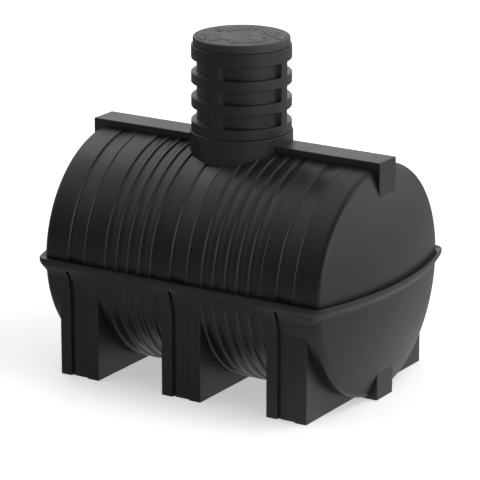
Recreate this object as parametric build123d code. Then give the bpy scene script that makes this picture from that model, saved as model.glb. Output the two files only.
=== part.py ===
import os
from math import atan2, cos, hypot, pi, radians, sin, sqrt

from build123d import *

# A rotomoulded water tank lies along X on three pairs of feet. Its neck stands over the origin,
# which is on the ground under the middle of the tank. Lengths are in millimetres.

# Barrel: a ribbed drum with belts over the feet
barrel_radius = 678.0  # over the ribs and the middle belt
barrel_clearance = 5.0  # from the ground to the lowest rib
wall = 9.0  # thickness of every moulded wall
straight_half_length = 862.4  # from the middle to where each end starts to curve
middle_belt_half_length = 157.0
outer_belt_start = 542.0  # inner edge of each outer belt
outer_belt_drop = 4.0  # the outer belts lie this much below the ribs
rib_depth = 9.0
rib_flank = 10.0  # length along the tank of one sloping side of a rib
rib_pitch_wanted = 77.0
rib_crest_share = 0.5  # of the pitch

# Shallow panel moulded round each belt, with a deep channel beside it on the lower half. Both are measured
# from the middle of the foot
channel_start = -58.0
channel_end = -38.0
channel_depth = 22.0
panel_end = 56.0
panel_depth = 12.0

# Domed ends: a small shoulder arc, then a side arc, then the wide dome
shoulder_radius = 30.0
shoulder_turn = 50.0  # degrees that the shoulder turns in from the barrel
side_radius = 436.0
dome_radius = 2000.0

# Flange round the middle of the height
flange_side_reach = 42.0  # past the barrel's ribs
flange_end_reach = 30.0  # past the domes
flange_end_radius = 2030.0
flange_corner_radius = 70.0
flange_height = 45.0
flange_drop = 22.5  # further down to where the taper under it ends
flange_taper = 40.0  # of the edge under it, as far in as up

# Feet
foot_spacing = 698.0
foot_length = 261.5  # along the tank
foot_half_span = 656.0  # from the middle of the tank to the front of a foot

# Keel under the barrel and beam over it
keel_half_length = 961.0
keel_half_width = 90.0
beam_half_length = 962.0
beam_half_width = 92.0
beam_top = 1396.0

# Neck: a moulded collar, and a riser of rings and recessed panels on it
collar_radius = 296.5
collar_top = 1444.0
riser_radius = 288.0
riser_panel_radius = 256.0  # outside of the recessed panels
riser_ring_height = 60.0
riser_top_ring_height = 77.0
riser_panel_height = 80.0
riser_panel_count = 3
pillar_width = 70.0

# Lid
lid_radius = 278.0
lid_height = 49.0
lid_edge_radius = 12.0
lid_rim_depth = 25.0
lid_rim_clearance = 5.0
lid_rim_wall = 8.0
key_hole_circle_radius = 150.0
key_hole_radius = 10.0
key_hole_depth = 20.0
key_hole_count = 4

# Places that follow from the sizes above
axis_height = barrel_clearance + barrel_radius
belt_radius = barrel_radius - outer_belt_drop
valley_radius = barrel_radius - rib_depth
inner_radius = valley_radius - wall
shoulder_slope = radians(90 - shoulder_turn)  # of the line from the axis out to the shoulder's end
shoulder_centre = (straight_half_length, belt_radius - shoulder_radius)
side_centre = (
    shoulder_centre[0] - (side_radius - shoulder_radius) * cos(shoulder_slope),
    shoulder_centre[1] - (side_radius - shoulder_radius) * sin(shoulder_slope),
)
dome_centre = (side_centre[0] - sqrt((dome_radius - side_radius) ** 2 - side_centre[1] ** 2), 0.0)
dome_slope = atan2(side_centre[1], side_centre[0] - dome_centre[0])
crown = dome_centre[0] + dome_radius  # from the middle of the tank to the end of a dome
flange_half_width = barrel_radius + flange_side_reach
flange_half_length = crown + flange_end_reach
rib_count = max(1, round((outer_belt_start - middle_belt_half_length) / rib_pitch_wanted))
rib_pitch = (outer_belt_start - middle_belt_half_length) / rib_count
riser_bore = riser_panel_radius - wall
beyond = 3 * barrel_radius  # reaches past the tank from its middle


def revolved(outline, turn=360):
    # Turns an outline of (x, radius) points about the drum's axis, from its back over the top
    face = make_face(Polyline([(x, r, 0) for x, r in outline], close=True))
    return Pos(0, 0, axis_height) * revolve(face, Axis.X, turn)


def middle_belt_line(upper):
    # Outer line of the middle belt on one half, from its left edge to its right one
    start, end = -middle_belt_half_length, middle_belt_half_length
    return [
        (start, valley_radius),
        (start + rib_flank, barrel_radius),
        *channel_line(0, barrel_radius, upper),
        (end - rib_flank, barrel_radius),
        (end, valley_radius),
    ]


def channel_line(centre, radius, upper):
    # The shallow panel, with the channel beside it on the lower half, as steps in a belt's outer line
    panel_radius = radius - panel_depth
    line = [(centre + channel_start, radius)]
    if upper:
        line += [(centre + channel_start, panel_radius)]
    else:
        line += [
            (centre + channel_start, radius - channel_depth),
            (centre + channel_end, radius - channel_depth),
            (centre + channel_end, panel_radius),
        ]
    return [*line, (centre + panel_end, panel_radius), (centre + panel_end, radius)]


def outer_belt_line(side, upper):
    # Outer line of the left belt (side -1) or the right one (side 1) on one half, from left to right
    ends = sorted((side * outer_belt_start, side * straight_half_length))
    channel = channel_line(side * foot_spacing, belt_radius, upper)
    return [(ends[0], belt_radius), *channel, (ends[1], belt_radius)]


def ribbed_line(side):
    # Outer line of the ribbed wall between two belts, from left to right
    line = [(middle_belt_half_length, valley_radius)]
    crest = rib_pitch * rib_crest_share
    for rib in range(rib_count):
        end = middle_belt_half_length + rib_pitch * (rib + 1)
        line += [
            (end - crest - rib_flank, valley_radius),
            (end - crest, barrel_radius),
        ]
        if rib < rib_count - 1:
            line += [(end - rib_flank, barrel_radius), (end, valley_radius)]
        else:
            line += [(end - outer_belt_drop, barrel_radius), (end, belt_radius)]
    return line if side > 0 else [(-x, r) for x, r in reversed(line)]


def arc(centre, radius, start, end):
    # An arc in the plane of the drum's outlines, between two slopes
    points = [
        (centre[0] + radius * cos(slope), centre[1] + radius * sin(slope), 0)
        for slope in (start, (start + end) / 2, end)
    ]
    return ThreePointArc(*points)


def dome_lines(thickness):
    # The curved line of the right end from the drum's edge to its middle, moved in by thickness
    return [
        arc(shoulder_centre, shoulder_radius - thickness, pi / 2, shoulder_slope),
        arc(side_centre, side_radius - thickness, shoulder_slope, dome_slope),
        arc(dome_centre, dome_radius - thickness, dome_slope, 0),
    ]


def dome_solid(thickness):
    # The whole room inside the right end's line, from the drum's edge outwards
    lines = dome_lines(thickness)
    middle = (straight_half_length, 0, 0)
    lines += [Line(lines[-1] @ 1, middle), Line(middle, lines[0] @ 0)]
    return Pos(0, 0, axis_height) * revolve(make_face(lines), Axis.X, 360)


def end_dome():
    # Right domed end, a shell
    return dome_solid(0) - dome_solid(wall)


def mirrored(shape):
    return mirror(shape, Plane.YZ)


def wall_shell(line, upper):
    # One half of a ribbed wall, between its outer line and a smooth inside
    outline = [*line, (line[-1][0], inner_radius), (line[0][0], inner_radius)]
    return revolved(outline, 180 if upper else -180)


def belt_shell(line, centre, radius, upper):
    # One half of a belt, which goes further in under its channel and panel, so that its wall is whole there
    channel_inside = radius - channel_depth - wall
    panel_inside = radius - panel_depth - wall
    inside = [
        (line[-1][0], inner_radius),
        (centre + panel_end + wall, inner_radius),
        (centre + panel_end + wall, panel_inside),
    ]
    if upper:
        inside += [(centre + channel_start - wall, panel_inside)]
    else:
        inside += [
            (centre + channel_end + wall, panel_inside),
            (centre + channel_end + wall, channel_inside),
            (centre + channel_start - wall, channel_inside),
        ]
    inside += [(centre + channel_start - wall, inner_radius), (line[0][0], inner_radius)]
    return revolved([*line, *inside], 180 if upper else -180)


def drum_form():
    # The solid form of the whole drum with its ends, which cuts whatever sits on it
    halves = []
    for upper in (True, False):
        line = outer_belt_line(-1, upper) + ribbed_line(-1) + middle_belt_line(upper)
        line += ribbed_line(1) + outer_belt_line(1, upper)
        outline = [line[0]]
        for point in line[1:]:
            if hypot(point[0] - outline[-1][0], point[1] - outline[-1][1]) > 0.001:
                outline.append(point)
        outline += [(line[-1][0], 0), (line[0][0], 0)]
        halves.append(revolved(outline, 180 if upper else -180))
    right = dome_solid(0)
    return *halves, right, mirrored(right)


def block(x_range, y_range, z_range):
    size = [high - low for low, high in (x_range, y_range, z_range)]
    centre = [(high + low) / 2 for low, high in (x_range, y_range, z_range)]
    return Pos(*centre) * Box(*size)


def tube(radius, bore, low, high):
    height = high - low
    return Pos(0, 0, (low + high) / 2) * (Cylinder(radius, height) - Cylinder(bore, height))


def flange_plate():
    # The flange's whole outline as a plate, whose underside tapers back to the drum
    thickness = flange_height + flange_drop
    low = axis_height + flange_height / 2 - thickness
    end_centre = flange_half_length - flange_end_radius
    plate = Pos(0, 0, low) * extrude(Rectangle(2 * beyond, 2 * flange_half_width), thickness)
    for direction in (1, -1):
        plate &= Pos(direction * end_centre, 0, low + thickness / 2) * Cylinder(flange_end_radius, thickness)
    plate = fillet(plate.edges().filter_by(Axis.Z), flange_corner_radius)
    return chamfer(plate.faces().sort_by(Axis.Z)[0].edges(), flange_taper)


def cut_by(shape, cutters):
    for cutter in cutters:
        shape = shape - cutter
    return shape


def foot(centre, side, drum):
    # A hollow foot under one belt, at the front (side -1) or the back (side 1)
    half = foot_length / 2
    front = foot_half_span
    inner = keel_half_width
    outline = [
        (-half, inner),
        (-half, front),
        (channel_start, front),
        (channel_start, front - channel_depth),
        (channel_end, front - channel_depth),
        (channel_end, front - panel_depth),
        (panel_end, front - panel_depth),
        (panel_end, front),
        (half, front),
        (half, inner),
    ]
    plan = make_face(Polyline([(centre + x, side * y, 0) for x, y in outline], close=True))
    room = offset(plan, -wall, kind=Kind.INTERSECTION)
    solid = extrude(plan, axis_height, dir=(0, 0, 1))
    hollow = Pos(0, 0, wall) * extrude(room, axis_height, dir=(0, 0, 1))
    return cut_by(solid - hollow, drum)


def top_beam(side, drum):
    # One half of the hollow beam along the top, from the collar to the left end (side -1) or the right
    floor = axis_height
    outer = block((0, beam_half_length), (-beam_half_width, beam_half_width), (floor, beam_top))
    room = block(
        (0, beam_half_length - wall),
        (-beam_half_width + wall, beam_half_width - wall),
        (floor, beam_top - wall),
    )
    neck = Pos(0, 0, axis_height) * Cylinder(collar_radius, 2 * beam_top)
    beam = outer - room - neck
    return cut_by(beam if side > 0 else mirrored(beam), drum)


def keel_piece(x_range, drum):
    return cut_by(block(x_range, (-keel_half_width, keel_half_width), (0, axis_height / 2)), drum)


def riser_ring(low, high):
    # A hollow ring of the riser: an outer wall with a ledge above and below
    ring = tube(riser_radius, riser_bore, low, high)
    return ring - tube(riser_radius - wall, riser_bore, low + wall, high - wall)


def riser_panels(low, high):
    # Recessed panels between four upright pillars
    def outline(step):
        reach = riser_radius - step
        round_part = Circle(riser_panel_radius - step)
        bars = Rectangle(2 * reach, pillar_width - 2 * step) + Rectangle(pillar_width - 2 * step, 2 * reach)
        return round_part + (bars & Circle(reach))

    return Pos(0, 0, low) * extrude(outline(0) - outline(wall), high - low)


def lid(low):
    top = low + lid_height
    shell = Pos(0, 0, (low + top) / 2) * Cylinder(lid_radius, lid_height)
    shell = fillet(shell.edges().sort_by(Axis.Z)[-1], lid_edge_radius)
    shell -= Pos(0, 0, (low + top - wall) / 2) * Cylinder(lid_radius - wall, lid_height - wall)
    rim = riser_bore - lid_rim_clearance
    shell += tube(rim, rim - lid_rim_wall, low - lid_rim_depth, top - wall)
    socket = key_hole_radius + wall
    for turn in range(key_hole_count):
        spot = Rot(0, 0, turn * 360 / key_hole_count) * Pos(key_hole_circle_radius, 0, 0)
        shell += spot * Pos(0, 0, top - wall - key_hole_depth / 2) * Cylinder(socket, key_hole_depth)
        shell -= spot * Pos(0, 0, top - key_hole_depth / 2) * Cylinder(key_hole_radius, key_hole_depth)
    return shell


def build():
    parts = {}
    drum = drum_form()
    manhole = Pos(0, 0, axis_height + barrel_radius) * Cylinder(collar_radius - wall, barrel_radius)

    sides = {"left": -1, "right": 1}
    along, across, tall = (-beyond, beyond), (-beyond, beyond), (0, 2 * axis_height)
    front, back = (-beyond, 0), (0, beyond)
    for name, side in sides.items():
        for half, upper in (("upper", True), ("lower", False)):
            belt = belt_shell(outer_belt_line(side, upper), side * foot_spacing, belt_radius, upper)
            parts[f"belt_{name}_{half}"] = belt
        ribs = wall_shell(ribbed_line(side), True) - manhole
        parts[f"ribbed_wall_{name}_upper_front"] = ribs & block(along, front, tall)
        parts[f"ribbed_wall_{name}_upper_back"] = ribs & block(along, back, tall)
        parts[f"ribbed_wall_{name}_lower"] = wall_shell(ribbed_line(side), False)

    # The manhole parts the middle belt's upper half
    parts["belt_middle_lower"] = belt_shell(middle_belt_line(False), 0, barrel_radius, False)
    belt = belt_shell(middle_belt_line(True), 0, barrel_radius, True) - manhole
    parts["belt_middle_upper_front"] = belt & block(along, front, tall)
    parts["belt_middle_upper_back"] = belt & block(along, back, tall)

    parts["end_dome_right"] = end_dome()
    parts["end_dome_left"] = mirrored(parts["end_dome_right"])

    flange = cut_by(flange_plate(), drum)
    near = straight_half_length
    parts["flange_front"] = flange & block((-near, near), front, tall)
    parts["flange_back"] = flange & block((-near, near), back, tall)
    parts["flange_right"] = flange & block((near, beyond), across, tall)
    parts["flange_left"] = flange & block((-beyond, -near), across, tall)

    for name, place in {"left": -1, "middle": 0, "right": 1}.items():
        parts[f"foot_{name}_front"] = foot(place * foot_spacing, -1, drum)
        parts[f"foot_{name}_back"] = foot(place * foot_spacing, 1, drum)

    parts["keel_middle"] = keel_piece((-near, near), drum)
    parts["keel_right"] = keel_piece((near, keel_half_length), drum)
    parts["keel_left"] = mirrored(parts["keel_right"])
    for name, side in sides.items():
        parts[f"top_beam_{name}"] = top_beam(side, drum)

    collar = tube(collar_radius, collar_radius - wall, axis_height, collar_top)
    parts["neck_collar"] = cut_by(collar, drum[:1])

    low = collar_top
    ring_names = ["bottom", "lower", "upper", "top"]
    panel_names = ["lower", "middle", "upper"]
    for tier in range(riser_panel_count + 1):
        height = riser_top_ring_height if tier == riser_panel_count else riser_ring_height
        parts[f"riser_ring_{ring_names[tier]}"] = riser_ring(low, low + height)
        low += height
        if tier < riser_panel_count:
            parts[f"riser_panels_{panel_names[tier]}"] = riser_panels(low, low + riser_panel_height)
            low += riser_panel_height
    parts["lid"] = lid(low)
    return parts


if __name__ == "__main__":
    os.makedirs("parts", exist_ok=True)
    for node, shape in build().items():
        export_step(shape, f"parts/{node}.step")
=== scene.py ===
from math import asin, atan2, cos, hypot, pi, radians, sin, sqrt

import bmesh
import bpy
from mathutils import Matrix, Vector


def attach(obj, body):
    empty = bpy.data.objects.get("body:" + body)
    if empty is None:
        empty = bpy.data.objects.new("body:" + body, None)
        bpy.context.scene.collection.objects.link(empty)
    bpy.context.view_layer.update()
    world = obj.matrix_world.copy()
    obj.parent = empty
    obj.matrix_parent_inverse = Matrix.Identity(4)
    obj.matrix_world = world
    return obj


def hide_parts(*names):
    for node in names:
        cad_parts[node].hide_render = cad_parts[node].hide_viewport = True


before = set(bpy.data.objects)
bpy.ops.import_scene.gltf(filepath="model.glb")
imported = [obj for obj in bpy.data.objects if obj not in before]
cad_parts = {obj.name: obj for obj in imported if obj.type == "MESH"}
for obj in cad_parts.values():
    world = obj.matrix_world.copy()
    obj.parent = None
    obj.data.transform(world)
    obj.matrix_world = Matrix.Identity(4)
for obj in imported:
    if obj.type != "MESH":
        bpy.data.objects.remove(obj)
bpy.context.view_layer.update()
print("frame loaded")

# A rotomoulded water tank on three pairs of feet, with a neck, a riser and a lid.
# Lengths are in metres, and the origin is on the ground under the middle of the tank.


def addNode(tree, kind, inputs=None, **settings):
    # Adds a node, sets it up, and fills or links its inputs
    node = tree.nodes.new(kind)
    for name, value in settings.items():
        setattr(node, name, value)
    for socket, value in (inputs or {}).items():
        if isinstance(value, bpy.types.NodeSocket):
            tree.links.new(value, node.inputs[socket])
        else:
            node.inputs[socket].default_value = value
    return node


def linearColour(hexColour):
    channels = [int(hexColour[place:place + 2], 16) / 255 for place in (1, 3, 5)]
    return [c / 12.92 if c <= 0.04045 else ((c + 0.055) / 1.055) ** 2.4 for c in channels] + [1.0]


# Plastics. Linear polyethylene, rotomoulded in black: the oven leaves a low, uneven sheen, a fine orange peel
# and a broad ripple where the wall shrank from the mould.
tankPlastic = {
    "colour": "#1b1b1c",
    "paleColour": "#202021",
    "patchSize": 0.35,
    "roughness": (0.36, 0.44),
    "peelSize": 0.012,  # real peel is 2 mm across, too fine to show here
    "peelDepth": 0.00025,
    "rippleSize": 0.16,
    "rippleDepth": 0.0016,
}
# The riser is moulded on its own, from the same resin, a little smoother
riserPlastic = {**tankPlastic, "roughness": (0.34, 0.42), "rippleSize": 0.10, "rippleDepth": 0.0008}
# The lid is moulded duller and paler than the tank
lidPlastic = {
    **tankPlastic,
    "colour": "#2e2e2f",
    "paleColour": "#39393a",
    "patchSize": 0.08,
    "roughness": (0.46, 0.58),
    "rippleSize": 0.09,
    "rippleDepth": 0.0006,
}
# The tread bars are coloured mid grey all over, a painted highlight standing in for the light their tops catch
treadHighlightLook = {**lidPlastic, "colour": "#646466", "paleColour": "#767678", "patchSize": 0.05}


def mouldedPolyethylene(name, look):
    material = bpy.data.materials.new(name)
    material.use_nodes = True
    tree = material.node_tree
    tree.nodes.clear()
    place = addNode(tree, "ShaderNodeTexCoord").outputs["Object"]
    patches = addNode(tree, "ShaderNodeTexNoise", {
        "Vector": place, "Scale": 1 / look["patchSize"], "Detail": 3.0, "Roughness": 0.55})
    colour = addNode(tree, "ShaderNodeMix", {
        "Factor": patches.outputs["Fac"],
        "A": linearColour(look["colour"]), "B": linearColour(look["paleColour"])}, data_type="RGBA")
    sheen = addNode(tree, "ShaderNodeMapRange", {
        "Value": patches.outputs["Fac"], "From Min": 0.3, "From Max": 0.7,
        "To Min": look["roughness"][0], "To Max": look["roughness"][1]})
    ripple = addNode(tree, "ShaderNodeTexNoise", {
        "Vector": place, "Scale": 1 / look["rippleSize"], "Detail": 1.0})
    peel = addNode(tree, "ShaderNodeTexNoise", {
        "Vector": place, "Scale": 1 / look["peelSize"], "Detail": 2.0})
    broad = addNode(tree, "ShaderNodeBump", {
        "Height": ripple.outputs["Fac"], "Distance": look["rippleDepth"], "Strength": 1.0})
    fine = addNode(tree, "ShaderNodeBump", {
        "Height": peel.outputs["Fac"], "Distance": look["peelDepth"], "Strength": 1.0,
        "Normal": broad.outputs["Normal"]})
    shader = addNode(tree, "ShaderNodeBsdfPrincipled", {
        "Base Color": colour.outputs["Result"], "Roughness": sheen.outputs["Result"], "IOR": 1.45,
        "Normal": fine.outputs["Normal"]})
    addNode(tree, "ShaderNodeOutputMaterial", {"Surface": shader.outputs["BSDF"]})
    return material


tankBlack = mouldedPolyethylene("rotomoulded polyethylene, tank", tankPlastic)
riserBlack = mouldedPolyethylene("rotomoulded polyethylene, riser", riserPlastic)
lidBlack = mouldedPolyethylene("moulded polyethylene, lid", lidPlastic)
# The tread bars' grey colour is a painted highlight
treadPaintedHighlight = mouldedPolyethylene("moulded polyethylene, tread with painted highlight", treadHighlightLook)
print("plastics ready")


# Making and joining meshes

def newPiece(name, mesh):
    piece = bpy.data.objects.new(name, mesh)
    bpy.context.scene.collection.objects.link(piece)
    return piece


def settle(piece):
    # Keeps what the piece's modifiers make as its plain mesh
    bpy.context.view_layer.update()
    done = piece.evaluated_get(bpy.context.evaluated_depsgraph_get())
    mesh = bpy.data.meshes.new_from_object(done)
    piece.modifiers.clear()
    old, piece.data = piece.data, mesh
    bpy.data.meshes.remove(old)
    return piece


def cutAway(piece, cutters, union=False):
    for cutter in cutters:
        cut = piece.modifiers.new("cut", "BOOLEAN")
        cut.operation = "UNION" if union else "DIFFERENCE"
        cut.solver = "EXACT"
        cut.object = cutter
    return settle(piece)


def smoothFaces(piece, sharpAngle=38):
    # Smooth shading that stays flat on the big faces and sharp at true corners
    piece.data.shade_smooth()
    piece.data.set_sharp_from_angle(angle=radians(sharpAngle))
    normals = piece.modifiers.new("normals", "WEIGHTED_NORMAL")
    normals.keep_sharp = True
    normals.weight = 100
    return settle(piece)


def finishPiece(piece, body, material, nodes):
    piece.data.materials.clear()
    piece.data.materials.append(material)
    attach(piece, body)
    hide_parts(*nodes)
    return piece


def discard(*pieces):
    for piece in pieces:
        mesh = piece.data
        bpy.data.objects.remove(piece)
        bpy.data.meshes.remove(mesh)


mergeDistance = 0.00002  # closes the poles and the seam of a turned piece


def turnedTree():
    # Turns an outline about an axis. The outline is an edge chain of (along the axis, 0, radius), and its
    # corners are rounded by the radius kept on each point.
    tree = bpy.data.node_groups.new("turned outline", "GeometryNodeTree")
    tree.is_modifier = True
    face = tree.interface
    face.new_socket("Outline", in_out="INPUT", socket_type="NodeSocketGeometry")
    for name, kind in (("Sides", "NodeSocketInt"), ("Turn", "NodeSocketVector"), ("Centre", "NodeSocketVector"),
                       ("Material", "NodeSocketMaterial")):
        face.new_socket(name, in_out="INPUT", socket_type=kind)
    face.new_socket("Shell", in_out="OUTPUT", socket_type="NodeSocketGeometry")
    given = addNode(tree, "NodeGroupInput")
    place = addNode(tree, "ShaderNodeSeparateXYZ", {0: addNode(tree, "GeometryNodeInputPosition").outputs[0]})
    along = addNode(tree, "ShaderNodeMath", {0: place.outputs["X"], 1: -1.0}, operation="MULTIPLY")
    out = addNode(tree, "ShaderNodeMath", {0: place.outputs["Z"], 1: 1.0}, operation="SUBTRACT")
    flat = addNode(tree, "ShaderNodeCombineXYZ", {"X": out.outputs[0], "Y": along.outputs[0]})
    laid = addNode(tree, "GeometryNodeSetPosition", {
        "Geometry": given.outputs["Outline"], "Position": flat.outputs[0]})
    line = addNode(tree, "GeometryNodeMeshToCurve", {"Mesh": laid.outputs[0]})
    rounding = addNode(tree, "GeometryNodeInputNamedAttribute", {"Name": "rounding"}, data_type="FLOAT")
    soft = addNode(tree, "GeometryNodeFilletCurve", {
        "Curve": line.outputs[0], "Radius": rounding.outputs[0], "Limit Radius": True, "Count": 3}, mode="POLY")
    ring = addNode(tree, "GeometryNodeCurvePrimitiveCircle", {"Resolution": given.outputs["Sides"], "Radius": 1.0})
    swept = addNode(tree, "GeometryNodeCurveToMesh", {"Curve": ring.outputs[0], "Profile Curve": soft.outputs[0]})
    closed = addNode(tree, "GeometryNodeMergeByDistance", {"Geometry": swept.outputs[0], "Distance": mergeDistance})
    moved = addNode(tree, "GeometryNodeTransform", {
        "Geometry": closed.outputs[0], "Translation": given.outputs["Centre"], "Rotation": given.outputs["Turn"]})
    single = addNode(tree, "GeometryNodeRealizeInstances", {"Geometry": moved.outputs[0]})
    coloured = addNode(tree, "GeometryNodeSetMaterial", {
        "Geometry": single.outputs[0], "Material": given.outputs["Material"]})
    addNode(tree, "NodeGroupOutput", {"Shell": coloured.outputs[0]})
    return tree


turnedOutline = turnedTree()


def setInputs(modifier, values):
    ids = {item.name: item.identifier for item in modifier.node_group.interface.items_tree
           if item.in_out == "INPUT"}
    for name, value in values.items():
        modifier[ids[name]] = value


def turned(name, outline, material, closed=True, upright=False, centre=(0, 0, 0), sides=144):
    # outline: (place along the axis, radius, rounding of the corner)
    points = [(along, 0, radius) for along, radius, rounding in outline]
    edges = [(i, i + 1) for i in range(len(points) - 1)] + ([(len(points) - 1, 0)] if closed else [])
    mesh = bpy.data.meshes.new(name)
    mesh.from_pydata(points, edges, [])
    mesh.attributes.new("rounding", "FLOAT", "POINT").data.foreach_set("value", [p[2] for p in outline])
    piece = newPiece(name, mesh)
    modifier = piece.modifiers.new("turned", "NODES")
    modifier.node_group = turnedOutline
    turn = (0, 0, 0) if upright else (0, pi / 2, 0)
    setInputs(modifier, {"Sides": sides, "Turn": turn, "Centre": centre, "Material": material})
    settle(piece)
    faceOutwards(piece)
    return piece


def faceOutwards(piece):
    shape = bmesh.new()
    shape.from_mesh(piece.data)
    if shape.calc_volume(signed=True) < 0:
        bmesh.ops.reverse_faces(shape, faces=shape.faces)
    shape.to_mesh(piece.data)
    shape.free()


def roundedBlock(name, plan, low, high, sideRounding, endRounding, steps=3):
    # An upright block over a plan of (x, y) corners. A corner may give its own rounding as a third value.
    shape = bmesh.new()
    weight = shape.edges.layers.float.new("bevel_weight_edge")
    ends = [[shape.verts.new((corner[0], corner[1], level)) for corner in plan] for level in (low, high)]
    count = len(plan)
    largest = max([sideRounding, endRounding] + [corner[2] for corner in plan if len(corner) > 2])
    for level, end in enumerate(ends):
        shape.faces.new(end if level else end[::-1])
    for i in range(count):
        j = (i + 1) % count
        shape.faces.new((ends[0][i], ends[0][j], ends[1][j], ends[1][i]))
    shape.edges.ensure_lookup_table()
    for edge in shape.edges:
        a, b = (v.co for v in edge.verts)
        if abs(a.z - b.z) < 1e-6:
            edge[weight] = endRounding / largest
    for i, corner in enumerate(plan):
        edge = shape.edges.get((ends[0][i], ends[1][i]))
        edge[weight] = (corner[2] if len(corner) > 2 else sideRounding) / largest
    bmesh.ops.recalc_face_normals(shape, faces=shape.faces)
    mesh = bpy.data.meshes.new(name)
    shape.to_mesh(mesh)
    shape.free()
    piece = newPiece(name, mesh)
    bevel = piece.modifiers.new("rounding", "BEVEL")
    bevel.limit_method = "WEIGHT"
    bevel.width = largest
    bevel.segments = steps
    bevel.use_clamp_overlap = True
    settle(piece)
    faceOutwards(piece)
    return piece


# Drum: ribbed walls, belts over the feet, and domed ends
drum = {
    "axisHeight": 0.683,
    "ribRadius": 0.678,  # over the ribs and the middle belt
    "beltRadius": 0.674,  # over the outer belts
    "valleyRadius": 0.669,
    "insideRadius": 0.660,
    "wall": 0.009,
    "middleBelt": 0.157,  # half its length
    "outerBelt": 0.542,  # where it starts
    "straight": 0.8824,  # where the end starts to curve
    "ribs": 5,
    "flank": 0.009,  # length of the rib's steep side, and of its gentle one
    "gentleFlank": 0.026,
    "ribRounding": 0.004,
    "gentleRounding": 0.030,
    "edgeRounding": 0.004,
    "lastFlank": 0.004,  # the last rib runs straight down onto the outer belt
    "lastRounding": 0.003,
    "sides": 160,
    "skin": 0.004,  # how deep the feet, beams and flange reach into the wall
}
# Beside the channel lies a shallow panel. On the upper half it is a plate that slopes up to a small lip.
channel = {
    "start": -0.058, "end": -0.040, "depth": 0.018, "panelEnd": 0.056, "panelDepth": 0.012, "rounding": 0.002,
    "insideRounding": 0.003, "upperDepth": 0.009, "lean": 0.006, "lip": 0.004, "lipWidth": 0.006,
    "slotTop": 0.036,  # where it starts under the drum's middle, below the flange
    "slotFoot": 0.200,  # and where the flange's underside has ended
    "fillFrom": 0.010,  # and where the shallow one starts above it
    "wallBand": 0.0035, "lipBand": 0.0015,  # which points are its left wall and its lip
}
footSpacing = 0.698
dome = {"kneeRadius": 0.040, "radius": 1.995, "depth": 1.031, "steps": (14, 16)}


def channelLine(centre, radius):
    soft, floor, panel = channel["rounding"], radius - channel["depth"], radius - channel["panelDepth"]
    start, end, far = (centre + channel[key] for key in ("start", "end", "panelEnd"))
    return [(start, radius, soft), (start, floor, soft), (end, floor, soft), (end, panel, soft),
            (far, panel, soft), (far, radius, soft)]


def channelInside(centre, radius):
    # The wall's inner side, back along the belt
    wall, inside, soft = drum["wall"], drum["insideRadius"], channel["insideRounding"]
    start, end, far = (centre + channel[key] for key in ("start", "end", "panelEnd"))
    floor, panel = radius - channel["depth"] - wall, radius - channel["panelDepth"] - wall
    return [(far + wall, inside, soft), (far + wall, panel, soft), (end + wall, panel, soft),
            (end + wall, floor, soft), (start - wall, floor, soft), (start - wall, inside, soft)]


def domeLine(inset):
    # From the drum's edge to the middle of the right end, moved in by inset: a tight knee, then a wide crown
    middle = dome["depth"] - dome["radius"]
    height = drum["beltRadius"] - dome["kneeRadius"]
    knee = middle + sqrt((dome["radius"] - dome["kneeRadius"]) ** 2 - height ** 2)
    last = atan2(height, knee - middle)
    arcs = (((knee, height), dome["kneeRadius"], pi / 2, last), ((middle, 0.0), dome["radius"], last, 0.0))
    line = []
    for (centre, radius, start, end), steps in zip(arcs, dome["steps"]):
        for step in range(0 if not line else 1, steps + 1):
            turn = start + (end - start) * step / steps
            line.append((centre[0] + (radius - inset) * cos(turn), centre[1] + (radius - inset) * sin(turn), 0.0))
    line[-1] = (line[-1][0], 0.0, 0.0)
    return line


def ribLine(rightZone):
    # Ribs between the middle belt and the right one. Every rib drops steeply on its right and rises gently
    # on its left, so the left zone's ribs are drawn the other way before they are flipped.
    start, end, count = drum["middleBelt"], drum["outerBelt"], drum["ribs"]
    pitch, valley, top = (end - start) / count, drum["valleyRadius"], drum["ribRadius"]
    steep, gentle = (drum["flank"], drum["ribRounding"]), (drum["gentleFlank"], drum["gentleRounding"])
    (near, nearSoft), (far, farSoft) = (gentle, steep) if rightZone else (steep, gentle)
    line = [(start, valley, 0.0)]
    for rib in range(1, count + 1):
        edge = start + pitch * rib
        line += [(edge - pitch / 2 - near, valley, nearSoft), (edge - pitch / 2, top, nearSoft)]
        if rib < count:
            line += [(edge - far, top, farSoft), (edge, valley, farSoft)]
        else:
            line += [(edge - drum["lastFlank"], top, drum["lastRounding"]), (edge, drum["beltRadius"], 0.0)]
    return line


def middleBeltLine():
    half, flank, soft = drum["middleBelt"], drum["flank"], drum["edgeRounding"]
    return [(-half, drum["valleyRadius"], 0.0), (-half + flank, drum["ribRadius"], soft),
            *channelLine(0.0, drum["ribRadius"]),
            (half - flank, drum["ribRadius"], soft), (half, drum["valleyRadius"], 0.0)]


def flipped(line):
    return [(-point[0], *point[1:]) for point in reversed(line)]


def outerBeltLine(side):
    ends = sorted((side * drum["outerBelt"], side * drum["straight"]))
    return [(ends[0], drum["beltRadius"], 0.0), *channelLine(side * footSpacing, drum["beltRadius"]),
            (ends[1], drum["beltRadius"], 0.0)]


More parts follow.
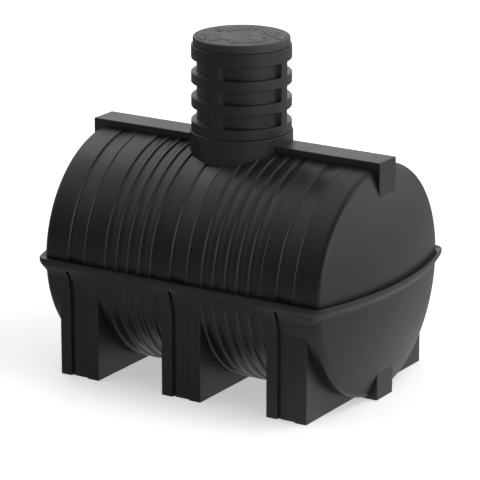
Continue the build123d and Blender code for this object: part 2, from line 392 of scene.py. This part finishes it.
def fillChannel(piece, centre, radius):
    # The deep channel is moulded into the lower half alone. Above the flange its floor rises, its left wall
    # leans and the panel slopes up to the lip.
    wall, deep, lip = drum["wall"], channel["upperDepth"], channel["lip"]
    start, end, far = (centre + channel[key] for key in ("start", "end", "panelEnd"))
    near, skin = 2 * channel["rounding"], channel["rounding"]  # what counts as at an edge, and as on a face
    floor, panel = radius - channel["depth"] - skin, radius - channel["panelDepth"] - skin
    foot = start + channel["lean"]
    for vertex in piece.data.vertices:
        x, y, height = vertex.co.x, vertex.co.y, vertex.co.z - drum["axisHeight"]
        if height < channel["fillFrom"] or not start - wall - near < x < far + near:
            continue
        out = hypot(y, height)
        level = out
        if start - near < x < end + near and out > floor:
            if x < start + channel["wallBand"]:
                level = max(out, radius - deep)
                vertex.co.x += channel["lean"] * max(0.0, radius - level) / deep
            else:
                level = max(out, radius - deep + (deep + lip) * (x - foot) / (far - foot))
        elif x < end + wall + near and out < panel:  # the wall's inner side
            level = max(out, radius - channel["panelDepth"] - wall)
        elif x > far - near and out > panel:
            if out < radius - channel["lipBand"]:
                level = radius + lip
            else:
                vertex.co.x += channel["lipWidth"] - skin
        vertex.co.y, vertex.co.z = y * level / out, drum["axisHeight"] + height * level / out
    piece.data.update()


def endShell(name, side):
    # An outer belt and its domed end, one closed skin
    belt, cap, back = outerBeltLine(side), domeLine(0.0), domeLine(drum["wall"])
    inside = channelInside(side * footSpacing, drum["beltRadius"])
    edge = (side * drum["outerBelt"], drum["insideRadius"], 0.0)
    if side > 0:
        outline = [*back[::-1], *inside, edge, *belt[:-1], *cap]
    else:
        outline = [*flipped(cap), *belt[1:], edge, *inside, *flipped(back)[::-1]]
    shell = turned(name, outline, tankBlack, closed=False, centre=(0, 0, drum["axisHeight"]), sides=drum["sides"])
    fillChannel(shell, side * footSpacing, drum["beltRadius"])
    return shell


def ribbedShell(name, side):
    line = ribLine(True) if side > 0 else flipped(ribLine(False))
    inside = [(line[-1][0], drum["insideRadius"], 0.0), (line[0][0], drum["insideRadius"], 0.0)]
    return turned(name, line + inside, tankBlack, centre=(0, 0, drum["axisHeight"]), sides=drum["sides"])


def drumForm(inset):
    # The whole drum as one solid, a little smaller, to cut what stands on it
    line = (flipped(domeLine(0.0)) + outerBeltLine(-1)[1:] + flipped(ribLine(False)) + middleBeltLine()[1:]
            + ribLine(True)[1:] + outerBeltLine(1)[1:] + domeLine(0.0)[1:])
    smaller = [(x, max(r - inset, 0.0), soft) for x, r, soft in line]
    gaps = [1.0] + [hypot(b[0] - a[0], b[1] - a[1]) for a, b in zip(smaller, smaller[1:])]
    smaller = [point for point, gap in zip(smaller, gaps) if gap > mergeDistance / 2]
    return turned("drum form", smaller, tankBlack, closed=False, centre=(0, 0, drum["axisHeight"]),
                  sides=drum["sides"])


endShells = {"left": endShell("endShell_left", -1), "right": endShell("endShell_right", 1)}
ribbedShells = {"left": ribbedShell("ribbedShell_left", -1), "right": ribbedShell("ribbedShell_right", 1)}
beltShell = turned(
    "beltShell_middle",
    [*middleBeltLine(), (drum["middleBelt"], drum["insideRadius"], 0.0), *channelInside(0.0, drum["ribRadius"]),
     (-drum["middleBelt"], drum["insideRadius"], 0.0)],
    tankBlack, centre=(0, 0, drum["axisHeight"]), sides=drum["sides"])
fillChannel(beltShell, 0.0, drum["ribRadius"])
cutter = drumForm(drum["skin"])
print("drum turned")

# Neck and the hole under it
neck = {"radius": 0.2965, "wall": 0.009, "low": 0.9, "top": 1.444, "rounding": 0.005, "cut": (0.8, 1.6)}


def neckPlug(name, radius, sides):
    # An upright cylinder through the top of the drum
    low, high = neck["cut"]
    return turned(name, [(low, 0.0, 0.0), (low, radius, 0.0), (high, radius, 0.0), (high, 0.0, 0.0)],
                  tankBlack, closed=False, upright=True, sides=sides)


manhole = neckPlug("manhole", neck["radius"] - neck["wall"], 96)
for shell in (beltShell, *ribbedShells.values()):
    cutAway(shell, [manhole])
collar = turned("neckCollar", [
    (neck["low"], neck["radius"], 0.0), (neck["top"], neck["radius"], neck["rounding"]),
    (neck["top"], neck["radius"] - neck["wall"], 0.002), (neck["low"], neck["radius"] - neck["wall"], 0.0)],
    tankBlack, upright=True, sides=128)
cutAway(collar, [cutter])
# The mould's parting line shows as one thin upright ridge
seam = {"turn": -92,  # degrees from the right end
        "height": 0.0014, "halfWidth": 0.0007, "root": 0.003, "low": 1.2, "high": 1.440, "rounding": 0.0004}
seamPlan = [tuple(Matrix.Rotation(radians(seam["turn"]), 2) @ Vector((neck["radius"] + out, across)))
            for out, across in ((-seam["root"], -seam["root"]), (seam["height"], -seam["halfWidth"]),
                                (seam["height"], seam["halfWidth"]), (-seam["root"], seam["root"]))]
ridge = roundedBlock("seam", seamPlan, seam["low"], seam["high"], seam["rounding"], seam["rounding"], steps=1)
cutAway(ridge, [cutter])
cutAway(collar, [ridge], union=True)
discard(ridge)
print("neck cut")

# Feet, keel, beams and flange. All of them reach into the drum's skin and are cut by its form.
foot = {"length": 0.2615, "front": 0.651, "inner": 0.088, "top": 0.683, "rounding": 0.006, "endRounding": 0.004}


def footBlock(name, centre, side):
    half, front, soft = foot["length"] / 2, foot["front"], channel["rounding"]
    floor, panel = front - channel["depth"], front - channel["panelDepth"]
    plan = [
        (-half, foot["inner"], 0.0), (-half, front), (channel["start"], front, soft),
        (channel["start"], floor, soft), (channel["end"], floor, soft), (channel["end"], panel, soft),
        (channel["panelEnd"], panel, soft), (channel["panelEnd"], front, soft), (half, front),
        (half, foot["inner"], 0.0),
    ]
    plan = [(centre + corner[0], side * corner[1], *corner[2:]) for corner in plan]
    if side > 0:
        plan = plan[::-1]
    block = roundedBlock(name, plan, 0.0, foot["top"], foot["rounding"], foot["endRounding"])
    return cutAway(block, [cutter])


feet = {}
for place, offset in {"left": -footSpacing, "middle": 0.0, "right": footSpacing}.items():
    for depth, side in {"front": -1, "back": 1}.items():
        feet[f"foot_{place}_{depth}"] = footBlock(f"mouldedFoot_{place}_{depth}", offset, side)

keel = {"halfLength": 0.961, "halfWidth": 0.090, "top": 0.34, "rounding": 0.005}
beam = {"halfLength": 0.962, "halfWidth": 0.092, "top": 1.396, "low": 1.0, "rounding": 0.006}


def barPlan(near, far, halfWidth):
    return [(near, -halfWidth), (far, -halfWidth), (far, halfWidth), (near, halfWidth)]


keelBar = roundedBlock("keelBar", barPlan(-keel["halfLength"], keel["halfLength"], keel["halfWidth"]),
                       0.0, keel["top"], keel["rounding"], keel["rounding"])
cutAway(keelBar, [cutter])
neckForm = neckPlug("neck form", neck["radius"] - drum["skin"], 128)
beams = {}
for place, side in {"left": -1, "right": 1}.items():
    near, far = sorted((0.0, side * beam["halfLength"]))
    beams[place] = roundedBlock(f"topBeam_{place}_moulded", barPlan(near, far, beam["halfWidth"]),
                                beam["low"], beam["top"], beam["rounding"], beam["rounding"])
    cutAway(beams[place], [cutter, neckForm])

flange = {"halfWidth": 0.720, "halfLength": 1.065, "endRadius": 2.030, "cornerRadius": 0.070,
          "steps": (24, 10, 12)}  # along half an end, round a corner and along half a side
# The flange's section, as levels over the drum's axis and how far in from the outline. Its top falls a little
# towards the drum and its underside blends into it.
flangeRows = [(0.0105, 0.0360), (0.0195, 0.0140), (0.0220, 0.0070), (0.0225, 0.0040), (0.0216, 0.0012),
              (0.0195, 0.0), (0.004, 0.0), (-0.003, 0.0008), (-0.010, 0.0032), (-0.018, 0.0076), (-0.027, 0.0140),
              (-0.037, 0.0220), (-0.048, 0.0305), (-0.060, 0.0385), (-0.073, 0.0455), (-0.087, 0.0510),
              (-0.101, 0.0550)]


def flangePlan(inset):
    # One quarter of the flange's outline moved in by inset, then its mirror images
    centre, corner = flange["halfLength"] - flange["endRadius"], flange["cornerRadius"]
    cornerY = flange["halfWidth"] - corner
    cornerX = centre + sqrt((flange["endRadius"] - corner) ** 2 - cornerY ** 2)
    start = asin(cornerY / (flange["endRadius"] - corner))
    end, small = flange["endRadius"] - inset, corner - inset
    endSteps, cornerSteps, sideSteps = flange["steps"]
    turns = [start * i / endSteps for i in range(endSteps + 1)]
    quarter = [(centre + end * cos(turn), end * sin(turn)) for turn in turns]
    turns = [start + (pi / 2 - start) * i / cornerSteps for i in range(1, cornerSteps + 1)]
    quarter += [(cornerX + small * cos(turn), cornerY + small * sin(turn)) for turn in turns]
    quarter += [(cornerX * (1 - i / sideSteps), flange["halfWidth"] - inset) for i in range(1, sideSteps)]
    half = quarter + [(0.0, flange["halfWidth"] - inset)] + [(-x, y) for x, y in quarter[::-1]]
    return half + [(x, -y) for x, y in half[-2:0:-1]]


def flangeBlock():
    shape = bmesh.new()
    rings = [[shape.verts.new((x, y, drum["axisHeight"] + level)) for x, y in flangePlan(inset)]
             for level, inset in flangeRows]
    for upper, lower in zip(rings, rings[1:]):
        for i in range(len(upper)):
            j = (i + 1) % len(upper)
            shape.faces.new((upper[i], lower[i], lower[j], upper[j]))
    shape.faces.new(rings[0])
    shape.faces.new(rings[-1][::-1])
    bmesh.ops.recalc_face_normals(shape, faces=shape.faces)
    mesh = bpy.data.meshes.new("flangeRim")
    shape.to_mesh(mesh)
    shape.free()
    return newPiece("flangeRim", mesh)


def channelSlot(centre):
    # Keeps the channel open where the flange's underside passes over it
    start, end, reach = centre + channel["start"], centre + channel["end"], 0.9
    top = drum["axisHeight"] - channel["slotTop"]
    return roundedBlock("slot", [(start, -reach), (end, -reach), (end, reach), (start, reach)],
                        drum["axisHeight"] - channel["slotFoot"], top, 0.001, 0.001, steps=1)


flangeRim = flangeBlock()
slots = [channelSlot(centre) for centre in (-footSpacing, 0.0, footSpacing)]
cutAway(flangeRim, [cutter, *slots])
discard(*slots)
print("feet, keel, beams and flange cut")

# Riser: rings and recessed panels formed in one wall
riser = {
    "low": neck["top"], "radius": 0.288, "panelRadius": 0.256, "bore": 0.247,
    "ring": 0.060, "topRing": 0.077, "panel": 0.080, "tiers": 3,  # heights of the rings and of the panels
    "pillarHalf": 0.032, "lean": 0.006, "rounding": 0.004, "crown": 0.0006, "panelColumns": 22, "pillarColumns": 5,
}
roundTurns = [pi / 2 * i / 3 for i in range(4)]  # steps round a moulded corner


def quarterColumns():
    # From the middle of one pillar to the middle of the next: where each column stands at a panel's
    # height, and its direction
    outer, inner, half, soft = riser["radius"], riser["panelRadius"], riser["pillarHalf"], riser["rounding"]
    edge = asin(half / outer)
    turns = [edge * 0.9 * i / riser["pillarColumns"] for i in range(riser["pillarColumns"] + 1)]
    columns = [(outer * cos(turn), outer * sin(turn)) for turn in turns]
    rim = sqrt(outer ** 2 - half ** 2)
    base = half + riser["lean"]  # the pillar's sides lean out towards its foot
    foot = sqrt(inner ** 2 - base ** 2)
    columns = [c for c in columns if c[1] < half - soft]
    for i, turn in enumerate(roundTurns):  # round the pillar's outer corner, a little proud where it starts
        proud = riser["crown"] * (3 - i) / 3
        columns.append((rim - soft + soft * cos(turn) + proud, half - soft + soft * sin(turn)))
    for turn in roundTurns:  # and the hollow one at its foot
        columns.append((foot + soft - soft * sin(turn), base + soft - soft * cos(turn)))
    first = atan2(columns[-1][1], columns[-1][0])
    last = pi / 2 - first
    for i in range(1, riser["panelColumns"]):
        turn = first + (last - first) * i / riser["panelColumns"]
        columns.append((inner * cos(turn), inner * sin(turn)))
    mirroredHalf = [(y, x) for x, y in columns if y > 0 and atan2(y, x) <= first + 1e-9][::-1]
    return columns + mirroredHalf


def riserShell():
    quarter = quarterColumns()
    plan = []
    for turn in range(4):
        spin = Matrix.Rotation(turn * pi / 2, 2)
        plan += [spin @ Vector(point) for point in quarter]
    outer, soft, bore = riser["radius"], riser["rounding"], riser["bore"]
    depth = outer - riser["panelRadius"]
    rows = []  # height, share of the way out from the panel to the ring, radius when not on the wall

    def edgeRows(level, upwards):
        # The ledge between a panel and the ring above it, or below it
        sign = 1 if upwards else -1
        steps = [(level - sign * soft * (1 - sin(turn)), soft * (1 - cos(turn)) / depth) for turn in roundTurns]
        steps += [(level + sign * soft * (1 - cos(turn)), 1 - soft * (1 - sin(turn)) / depth)
                  for turn in roundTurns]
        return steps if upwards else steps[::-1]

    level = riser["low"]
    rows += [(level + soft * (1 - cos(turn)), 1.0, outer - soft * (1 - sin(turn))) for turn in roundTurns]
    for tier in range(riser["tiers"]):
        level += riser["ring"]
        rows += [(*step, None) for step in edgeRows(level, upwards=False)]
        level += riser["panel"]
        rows += [(*step, None) for step in edgeRows(level, upwards=True)]
    top = level + riser["topRing"]
    rows += [(top - soft * (1 - sin(turn)), 1.0, outer - soft * (1 - cos(turn))) for turn in roundTurns]
    rows += [(top, 1.0, bore), (riser["low"], 1.0, bore)]

    shape = bmesh.new()
    grid = []
    for height, share, radius in rows:
        ring = []
        for point in plan:
            direction = point.normalized()
            if radius is None:
                spot = point.lerp(direction * outer, share)
            else:
                spot = direction * radius
            ring.append(shape.verts.new((spot.x, spot.y, height)))
        grid.append(ring)
    count = len(plan)
    for i, ring in enumerate(grid):
        above = grid[(i + 1) % len(grid)]
        for j in range(count):
            k = (j + 1) % count
            shape.faces.new((ring[j], ring[k], above[k], above[j]))
    bmesh.ops.remove_doubles(shape, verts=shape.verts, dist=0.00001)
    mesh = bpy.data.meshes.new("riserShell")
    shape.to_mesh(mesh)
    shape.free()
    piece = newPiece("riserShell", mesh)
    faceOutwards(piece)
    return piece, top


riserWall, lidLow = riserShell()
print("riser formed, lid sits at", round(lidLow, 4))

# Lid, with a rim inside the riser's bore and four blind key holes
lid = {
    "radius": 0.278, "height": 0.049, "edgeRounding": 0.012, "wall": 0.009,
    "rimRadius": 0.242, "rimWall": 0.008, "rimDepth": 0.025,
    "keyCircle": 0.150, "keyRadius": 0.012, "keyDepth": 0.020,
}
lidTop = lidLow + lid["height"]
under = lidTop - lid["wall"]
inner = lid["radius"] - lid["wall"]
lidShell = turned("treadLid", [
    (lidTop, 0.0, 0.0), (lidTop, lid["radius"], lid["edgeRounding"]), (lidLow, lid["radius"], 0.003),
    (lidLow, inner, 0.002), (under, inner, 0.004), (under, lid["rimRadius"], 0.004),
    (lidLow - lid["rimDepth"], lid["rimRadius"], 0.002),
    (lidLow - lid["rimDepth"], lid["rimRadius"] - lid["rimWall"], 0.002),
    (under, lid["rimRadius"] - lid["rimWall"], 0.004), (under, 0.0, 0.0)],
    lidBlack, closed=False, upright=True, sides=128)
sockets, holes = [], []
for turn in range(4):
    spot = (lid["keyCircle"] * cos(turn * pi / 2), lid["keyCircle"] * sin(turn * pi / 2), 0)
    wide = lid["keyRadius"] + lid["wall"]
    sockets.append(turned("socket", [(under + 0.002, 0.0, 0.0), (under + 0.002, wide, 0.0),
                                     (under - lid["keyDepth"], wide, 0.003), (under - lid["keyDepth"], 0.0, 0.0)],
                          lidBlack, closed=False, upright=True, centre=spot, sides=24))
    holes.append(turned("hole", [(lidTop + 0.02, 0.0, 0.0), (lidTop + 0.02, lid["keyRadius"], 0.0),
                                 (lidTop - lid["keyDepth"], lid["keyRadius"], 0.0),
                                 (lidTop - lid["keyDepth"], 0.0, 0.0)],
                        lidBlack, closed=False, upright=True, centre=spot, sides=24))
cutAway(lidShell, sockets, union=True)
cutAway(lidShell, holes)
discard(*sockets, *holes)

# Raised tread on top of it, in four patches, with short lines towards the rim. Real bars are finer and lower,
# and too fine to show from here.
tread = {"pitch": 0.0165, "width": 0.0075, "topShare": 0.45, "height": 0.0040, "shortest": 0.012,
         "keyClearance": 0.020, "rows": 21, "walk": 0.002}
treadPatches = [  # middle and half width in degrees, near and far radius, and whether the bars run across
    (135, 31, 0.120, 0.220, False), (225, 31, 0.120, 0.230, False), (315, 31, 0.075, 0.210, False),
    (45, 29, 0.145, 0.205, False), (-140, 21, 0.212, 0.256, True), (28, 25, 0.212, 0.258, True)]


def treadLines():
    # Both ends of every bar, found by walking along it while it stays on its patch
    along, across = Vector((1, -1)) / sqrt(2), Vector((1, 1)) / sqrt(2)
    keys = [Vector((cos(turn * pi / 2), sin(turn * pi / 2))) * lid["keyCircle"] for turn in range(4)]
    walks = round(lid["radius"] / tread["walk"])
    lines = []
    for middle, half, near, far, turnedBars in treadPatches:
        run, step = (across, along) if turnedBars else (along, across)
        for row in range(-tread["rows"], tread["rows"] + 1):
            start = last = None
            for place in range(-walks, walks + 1):
                spot = run * place * tread["walk"] + step * row * tread["pitch"]
                angle = (atan2(spot.y, spot.x) - radians(middle) + pi) % (2 * pi) - pi
                on = (near < spot.length < far and abs(angle) < radians(half)
                      and all((spot - key).length > tread["keyClearance"] for key in keys))
                if on:
                    start, last = start or spot, spot
                elif start is not None:
                    if (last - start).length > tread["shortest"]:
                        lines.append((start, last))
                    start = None
    return lines


def treadTree():
    # Sweeps a low, flat-topped bar along every edge
    tree = bpy.data.node_groups.new("tread bars", "GeometryNodeTree")
    tree.is_modifier = True
    for name, kind in (("Lines", "NodeSocketGeometry"), ("Width", "NodeSocketFloat"),
                       ("Top Share", "NodeSocketFloat"), ("Height", "NodeSocketFloat"),
                       ("Material", "NodeSocketMaterial")):
        tree.interface.new_socket(name, in_out="INPUT", socket_type=kind)
    tree.interface.new_socket("Bars", in_out="OUTPUT", socket_type="NodeSocketGeometry")
    given = addNode(tree, "NodeGroupInput")
    lines = addNode(tree, "GeometryNodeMeshToCurve", {"Mesh": given.outputs["Lines"]})
    narrow = addNode(tree, "ShaderNodeMath", {
        0: given.outputs["Width"], 1: given.outputs["Top Share"]}, operation="MULTIPLY")
    deep = addNode(tree, "ShaderNodeMath", {0: given.outputs["Height"], 1: 2.0}, operation="MULTIPLY")
    section = addNode(tree, "GeometryNodeCurvePrimitiveQuadrilateral", {
        "Bottom Width": given.outputs["Width"], "Top Width": narrow.outputs[0], "Height": deep.outputs[0],
        "Offset": 0.0}, mode="TRAPEZOID")
    bars = addNode(tree, "GeometryNodeCurveToMesh", {
        "Curve": lines.outputs[0], "Profile Curve": section.outputs[0], "Fill Caps": True})
    single = addNode(tree, "GeometryNodeRealizeInstances", {"Geometry": bars.outputs[0]})
    coloured = addNode(tree, "GeometryNodeSetMaterial", {
        "Geometry": single.outputs[0], "Material": given.outputs["Material"]})
    addNode(tree, "NodeGroupOutput", {"Bars": coloured.outputs[0]})
    return tree


lines = treadLines()
treadMesh = bpy.data.meshes.new("treadBars")
treadMesh.from_pydata([(spot.x, spot.y, lidTop) for line in lines for spot in line],
                      [(2 * i, 2 * i + 1) for i in range(len(lines))], [])
treadBars = newPiece("treadBars", treadMesh)
barMaker = treadBars.modifiers.new("bars", "NODES")
barMaker.node_group = treadTree()
setInputs(barMaker, {"Width": tread["width"], "Top Share": tread["topShare"], "Height": tread["height"],
                     "Material": treadPaintedHighlight})
settle(treadBars)
print("lid turned, tread bars", len(lines))

# Finishing the pieces
for shell in (*endShells.values(), *ribbedShells.values(), beltShell, collar, keelBar, flangeRim, riserWall,
              lidShell, *feet.values(), *beams.values()):
    smoothFaces(shell)
for place, shell in endShells.items():
    finishPiece(shell, "tank", tankBlack,
                [f"belt_{place}_upper", f"belt_{place}_lower", f"end_dome_{place}"])
for place, shell in ribbedShells.items():
    finishPiece(shell, "tank", tankBlack,
                [f"ribbed_wall_{place}_{part}" for part in ("upper_front", "upper_back", "lower")])
finishPiece(beltShell, "tank", tankBlack,
            ["belt_middle_upper_front", "belt_middle_upper_back", "belt_middle_lower"])
finishPiece(collar, "tank", tankBlack, ["neck_collar"])
finishPiece(keelBar, "tank", tankBlack, ["keel_left", "keel_middle", "keel_right"])
finishPiece(flangeRim, "tank", tankBlack,
            [f"flange_{side}" for side in ("front", "back", "left", "right")])
for node, piece in feet.items():
    finishPiece(piece, "tank", tankBlack, [node])
for place, piece in beams.items():
    finishPiece(piece, "tank", tankBlack, [f"top_beam_{place}"])
# The riser's wall stands in for all seven of its nodes
finishPiece(riserWall, "tank", riserBlack,
            [f"riser_ring_{name}" for name in ("bottom", "lower", "upper", "top")]
            + [f"riser_panels_{name}" for name in ("lower", "middle", "upper")])
finishPiece(lidShell, "lid", lidBlack, ["lid"])
# The tread bars carry the grey material, a painted highlight
finishPiece(treadBars, "lid", treadPaintedHighlight, [])
discard(cutter, manhole, neckForm)

# Studio: pale floor and a white room of large soft boxes
studio = {
    "floorSize": 60.0, "floorAlbedo": 0.30, "seenAlbedo": 0.80,
    "lift": 0.48, "farLift": 0.75, "liftReach": (1.8, 5.0),  # added for the camera, by distance from the tank
    "glowReach": (0.9, 1.8),  # where the near glow gives way to the far one
    "frontEdge": (-0.78, -0.45),  # from the floor in front of the tank to the floor under it
}
# Azimuth and elevation in degrees, strength, and how narrow
softBoxes = [(0, 10, 1.85, 16), (340, 10, 1.95, 16), (48, 10, 1.75, 4), (270, 12, 0.08, 4), (180, 48, 1.08, 4),
             (122, 17, 1.28, 16), (110, 64, 0.32, 4)]
# The floor as the plastic mirrors it: azimuth in degrees and strength, and the strength close to the tank,
# in front of it and under it
floorGlow = [(0, 0.50), (60, 0.18), (240, 0.155), (300, 0.17)]
nearGlow = (0.18, 0.66)
# A white card on the floor before the right end, mirrored in the ribs under the flange
floorCard = {"place": (0.85, -1.02, 0.0), "full": 0.20, "reach": 0.80, "glow": 0.40}


def lobeSum(tree, direction, lobes):
    # Sum of soft lobes about the given directions
    total = None
    for axis, strength, power in lobes:
        facing = addNode(tree, "ShaderNodeVectorMath", {0: direction, 1: axis}, operation="DOT_PRODUCT")
        kept = addNode(tree, "ShaderNodeMath", {0: facing.outputs["Value"], 1: 0.0}, operation="MAXIMUM")
        soft = addNode(tree, "ShaderNodeMath", {0: kept.outputs[0], 1: power}, operation="POWER")
        total = addNode(tree, "ShaderNodeMath", {
            0: soft.outputs[0], 1: strength, 2: 0.0 if total is None else total}, operation="MULTIPLY_ADD").outputs[0]
    return total


def floorMaterial():
    # Matt painted floor. The camera sees it lifted to white with the shadow kept pale, and mirror rays
    # see it brighter towards the right and the back of the room.
    material = bpy.data.materials.new("matt white floor paint")
    material.use_nodes = True
    tree = material.node_tree
    tree.nodes.clear()
    rays = addNode(tree, "ShaderNodeLightPath")
    place = addNode(tree, "ShaderNodeTexCoord").outputs["Object"]
    away = addNode(tree, "ShaderNodeVectorMath", {0: place}, operation="LENGTH")
    towards = addNode(tree, "ShaderNodeVectorMath", {0: place}, operation="NORMALIZE")
    far = addNode(tree, "ShaderNodeMapRange", {
        "Value": away.outputs["Value"], "From Min": studio["glowReach"][0], "From Max": studio["glowReach"][1],
        "To Min": 0.0, "To Max": 1.0}, interpolation_type="SMOOTHSTEP")
    lobes = lobeSum(tree, towards.outputs[0], [((cos(radians(turn)), sin(radians(turn)), 0.0), strength, 2.0)
                                               for turn, strength in floorGlow])
    spot = addNode(tree, "ShaderNodeSeparateXYZ", {0: place})
    under = addNode(tree, "ShaderNodeMapRange", {
        "Value": spot.outputs["Y"], "From Min": studio["frontEdge"][0], "From Max": studio["frontEdge"][1],
        "To Min": nearGlow[0], "To Max": nearGlow[1]}, interpolation_type="SMOOTHSTEP")
    plain = addNode(tree, "ShaderNodeMix", {
        "Factor": far.outputs["Result"], "A": under.outputs["Result"], "B": lobes}, data_type="FLOAT")
    toCard = addNode(tree, "ShaderNodeVectorMath", {0: place, 1: floorCard["place"]}, operation="DISTANCE")
    card = addNode(tree, "ShaderNodeMapRange", {
        "Value": toCard.outputs["Value"], "From Min": floorCard["full"], "From Max": floorCard["reach"],
        "To Min": floorCard["glow"], "To Max": 0.0}, interpolation_type="SMOOTHSTEP")
    glow = addNode(tree, "ShaderNodeMath", {
        0: plain.outputs["Result"], 1: card.outputs["Result"]}, operation="ADD")
    mirrored = addNode(tree, "ShaderNodeMath", {
        0: glow.outputs[0], 1: rays.outputs["Is Glossy Ray"]}, operation="MULTIPLY")
    lifted = addNode(tree, "ShaderNodeMapRange", {
        "Value": away.outputs["Value"], "From Min": studio["liftReach"][0], "From Max": studio["liftReach"][1],
        "To Min": studio["lift"], "To Max": studio["farLift"]}, interpolation_type="SMOOTHSTEP")
    byCamera = rays.outputs["Is Camera Ray"]
    seen = addNode(tree, "ShaderNodeMath", {
        0: byCamera, 1: lifted.outputs["Result"], 2: mirrored.outputs[0]}, operation="MULTIPLY_ADD")
    albedo = addNode(tree, "ShaderNodeMix", {
        "Factor": byCamera, "A": studio["floorAlbedo"], "B": studio["seenAlbedo"]}, data_type="FLOAT")
    shader = addNode(tree, "ShaderNodeBsdfDiffuse", {"Color": albedo.outputs["Result"]})
    lift = addNode(tree, "ShaderNodeEmission", {"Color": (1, 1, 1, 1), "Strength": seen.outputs[0]})
    both = addNode(tree, "ShaderNodeAddShader", {0: shader.outputs[0], 1: lift.outputs[0]})
    addNode(tree, "ShaderNodeOutputMaterial", {"Surface": both.outputs[0]})
    return material


floorMesh = bpy.data.meshes.new("studioFloor")
reach = studio["floorSize"] / 2
floorMesh.from_pydata([(-reach, -reach, 0), (reach, -reach, 0), (reach, reach, 0), (-reach, reach, 0)], [],
                      [(0, 1, 2, 3)])
floor = newPiece("studioFloor", floorMesh)
floorMesh.materials.append(floorMaterial())


def studioSurround():
    # The camera sees plain white; the tank is lit by the soft boxes
    world = bpy.data.worlds.new("studio surround")
    world.use_nodes = True
    tree = world.node_tree
    tree.nodes.clear()
    towards = addNode(tree, "ShaderNodeTexCoord").outputs["Generated"]
    boxes = [((cos(radians(up)) * cos(radians(turn)), cos(radians(up)) * sin(radians(turn)), sin(radians(up))),
              strength, power) for turn, up, strength, power in softBoxes]
    light = lobeSum(tree, towards, boxes)
    rays = addNode(tree, "ShaderNodeLightPath")
    strength = addNode(tree, "ShaderNodeMix", {
        "Factor": rays.outputs["Is Camera Ray"], "A": light, "B": 1.0}, data_type="FLOAT")
    glow = addNode(tree, "ShaderNodeBackground", {"Color": (1, 1, 1, 1), "Strength": strength.outputs["Result"]})
    addNode(tree, "ShaderNodeOutputWorld", {"Surface": glow.outputs[0]})
    return world


bpy.context.scene.world = studioSurround()


def softLamp(name, place, target, size, power):
    data = bpy.data.lights.new(name, "AREA")
    data.shape = "RECTANGLE"
    data.size, data.size_y = size
    data.energy = power
    lamp = bpy.data.objects.new(name, data)
    bpy.context.scene.collection.objects.link(lamp)
    lamp.location = place
    lamp.rotation_euler = (Vector(target) - Vector(place)).to_track_quat("-Z", "Y").to_euler()
    return lamp


# Lights the floor from the right and casts the shadow, kept out of the plastic's mirror image
fillLamp = softLamp("floor lamp", (2.6, 0.6, 5.6), (0.0, 0.0, 0.5), (3.0, 3.0), 100)
fillLamp.visible_glossy = False
# A nearer box over the left end, mirrored in the top of the drum
softLamp("left overhead box", (-2.2, 0.6, 3.7), (-0.6, -0.3, 1.25), (1.5, 1.5), 9)

# Camera, far off with a long lens, as the photograph was taken
shot = {"place": (8.8776, -14.2011, 5.8372), "direction": (-0.50786, 0.81142, -0.28927), "lens": 226.94}
camera = bpy.data.objects.new("camera", bpy.data.cameras.new("camera"))
bpy.context.scene.collection.objects.link(camera)
camera.location = shot["place"]
camera.rotation_euler = Vector(shot["direction"]).to_track_quat("-Z", "Y").to_euler()
camera.data.lens = shot["lens"]
camera.data.sensor_width = 36.0
camera.data.sensor_fit = "HORIZONTAL"
camera.data.clip_end = 200.0
bpy.context.scene.camera = camera
bpy.context.scene.view_settings.view_transform = "Standard"
print("studio ready")
